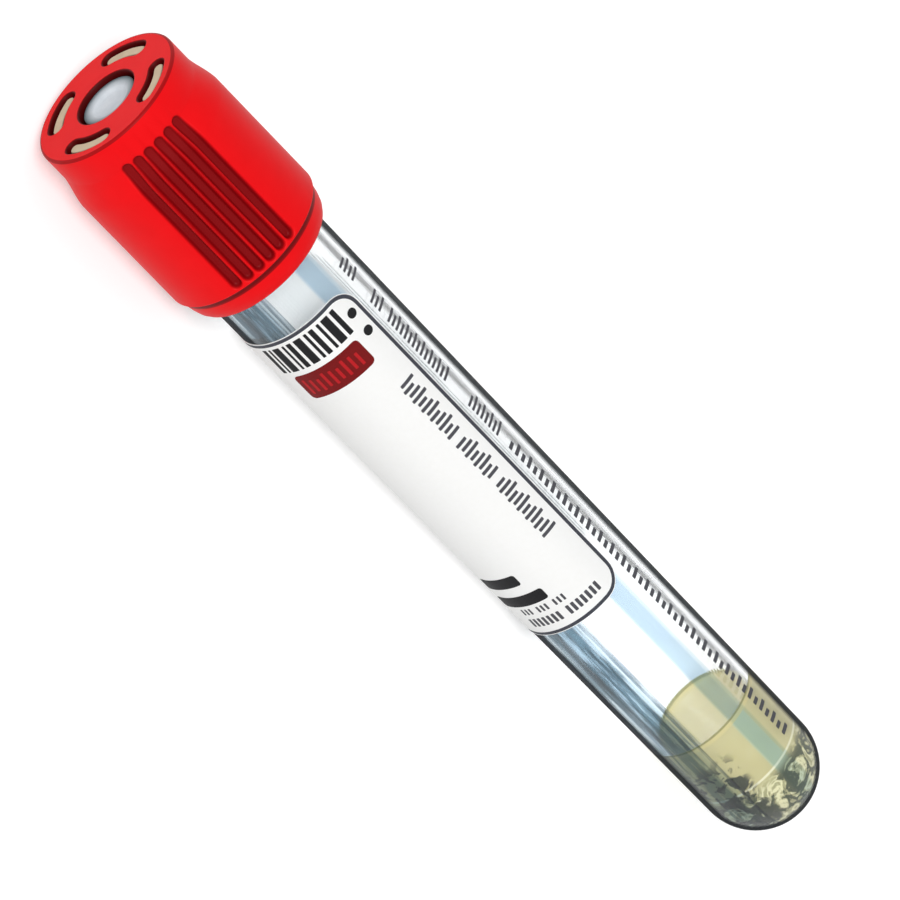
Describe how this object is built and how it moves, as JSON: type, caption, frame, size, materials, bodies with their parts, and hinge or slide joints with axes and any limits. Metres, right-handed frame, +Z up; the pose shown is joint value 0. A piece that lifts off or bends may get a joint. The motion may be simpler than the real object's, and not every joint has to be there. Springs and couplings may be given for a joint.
{
  "type": "blood collection tube",
  "caption": "Clear round-bottomed blood collection tube with a red pull-off safety cap over a rubber stopper, a white wrapped label and separator gel.",
  "frame": {"origin": "on the table, under the middle of the outer box", "axes": "+Z up; the tube lies along X with its closure towards -X and its round bottom towards +X, its axis rising 1.67 degrees towards the closure; the label faces -Y"},
  "size_m": [0.1038, 0.0166, 0.017],
  "materials": {
    "clear_plastic": "gloss",
    "gel": "satin",
    "stopper_rubber": "matte",
    "cap_plastic": "satin",
    "label_film": "satin"
  },
  "bodies": {
    "filled_tube": {"tube": "clear_plastic", "label": "label_film", "separator_gel": "gel"},
    "closure": {"cap": "cap_plastic", "stopper": "stopper_rubber"}
  },
  "joints": [
    {"name": "closure_pull", "type": "slide", "parent": "filled_tube", "child": "closure", "axis": [-0.9996, 0, 0.0292], "range_m": [0, 0.04]}
  ]
}
